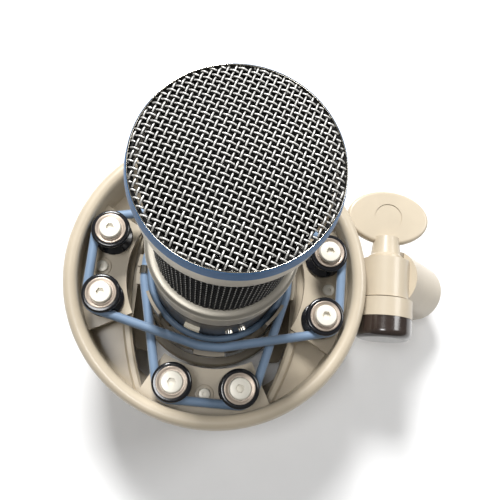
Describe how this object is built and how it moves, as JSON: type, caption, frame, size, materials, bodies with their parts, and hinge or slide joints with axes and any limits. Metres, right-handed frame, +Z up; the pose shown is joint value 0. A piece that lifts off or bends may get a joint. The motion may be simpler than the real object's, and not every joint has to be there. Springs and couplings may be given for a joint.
{
  "type": "ribbon microphone",
  "caption": "Cylindrical ribbon microphone with a woven wire head, held on elastic cords inside a round cage shock mount with a swivelling threaded stand adapter.",
  "frame": {"origin": "centre of the microphone's flat bottom face", "axes": "+Z up along the microphone's axis towards the head, -Y the front, +X towards the stand swivel"},
  "size_m": [0.1696, 0.1264, 0.181],
  "materials": {
    "cage_paint": "satin champagne paint",
    "plate_paint": "satin champagne paint",
    "spool_black": "gloss black moulding",
    "nickel": "bright nickel",
    "elastic_cord": "braided elastic, steel blue",
    "body_nickel": "satin nickel",
    "mesh_steel": "woven wire",
    "fine_mesh": "fine dark woven wire",
    "blue_ring": "gloss steel blue",
    "bumper_elastomer": "satin blue-grey elastomer",
    "cradle_paint": "satin champagne paint",
    "dark_nut": "gloss dark",
    "washer_nylon": "natural nylon",
    "thread_brass": "plain",
    "connector_black": "matte black",
    "motor_metal": "machined",
    "magnet": "ground",
    "ribbon_foil": "corrugated foil",
    "grommet": "soft rubber",
    "wire_red": "insulated wire"
  },
  "bodies": {
    "cage": {"bracket_screws": "nickel", "cage_base_ring": "cage_paint", "cage_ring": "cage_paint", "cage_wing_east": "cage_paint", "cage_wing_west": "cage_paint", "cord_loop_front_back": "elastic_cord", "cord_loop_left_right": "elastic_cord", "cord_spool_east_left": "spool_black", "cord_spool_east_right": "spool_black", "cord_spool_north_left": "spool_black", "cord_spool_north_right": "spool_black", "cord_spool_south_left": "spool_black", "cord_spool_south_right": "spool_black", "cord_spool_west_left": "spool_black", "cord_spool_west_right": "spool_black", "friction_washer": "washer_nylon", "pivot_nut": "dark_nut", "plate_screws": "nickel", "spool_plate_east": "plate_paint", "spool_plate_north": "plate_paint", "spool_plate_south": "plate_paint", "spool_plate_west": "plate_paint", "spool_screws": "nickel", "spool_washers": "nickel", "swivel_bracket": "cage_paint"},
    "microphone": {"body_base": "body_nickel", "body_key": "washer_nylon", "body_tube": "body_nickel", "chassis_rods": "nickel", "circuit_board": "connector_black", "clamp_screws": "nickel", "cord_ferrules": "nickel", "cradle_basket": "cradle_paint", "cradle_bumper_ring": "bumper_elastomer", "cradle_screws": "nickel", "fine_mesh_side": "fine_mesh", "fine_mesh_top": "fine_mesh", "grille_band": "body_nickel", "grille_mesh_side": "mesh_steel", "grille_mesh_top": "mesh_steel", "grille_top_ring": "blue_ring", "head_posts": "nickel", "motor_frame": "motor_metal", "motor_isolators": "grommet", "motor_magnets": "magnet", "motor_plate": "motor_metal", "pole_pieces": "magnet", "ribbon_clamps": "motor_metal", "ribbons": "ribbon_foil", "shoulder_ring": "body_nickel", "signal_wires": "wire_red", "transformer": "magnet", "transformer_straps": "nickel", "xlr_insert": "connector_black", "xlr_pins": "nickel"},
    "lock_ring": {"cradle_lock_ring": "cradle_paint"},
    "stand_adapter": {"stand_adapter": "cage_paint", "thread_insert": "thread_brass"},
    "thumb_screw": {"thumb_screw": "cage_paint"}
  },
  "joints": [
    {"name": "suspension_float", "type": "slide", "parent": "cage", "child": "microphone", "axis": [0, 0, 1], "range_m": [-0.0035, 0.0035], "stiffness_N_per_m": 2600, "deforming": ["cord_loop_front_back", "cord_loop_left_right"]},
    {"name": "adapter_swivel", "type": "hinge", "parent": "cage", "child": "stand_adapter", "pos_m": [0.074, 0, 0.0425], "axis": [0, 1, 0], "range_deg": [-110, 24]},
    {"name": "thumb_screw_turn", "type": "hinge", "parent": "cage", "child": "thumb_screw", "pos_m": [0.074, 0, 0.0425], "axis": [0, 1, 0], "range_deg": [-90, 270]},
    {"name": "lock_ring_turn", "type": "hinge", "parent": "microphone", "child": "lock_ring", "pos_m": [0, 0, 0.016], "axis": [0, 0, 1], "range_deg": [0, 720]}
  ]
}
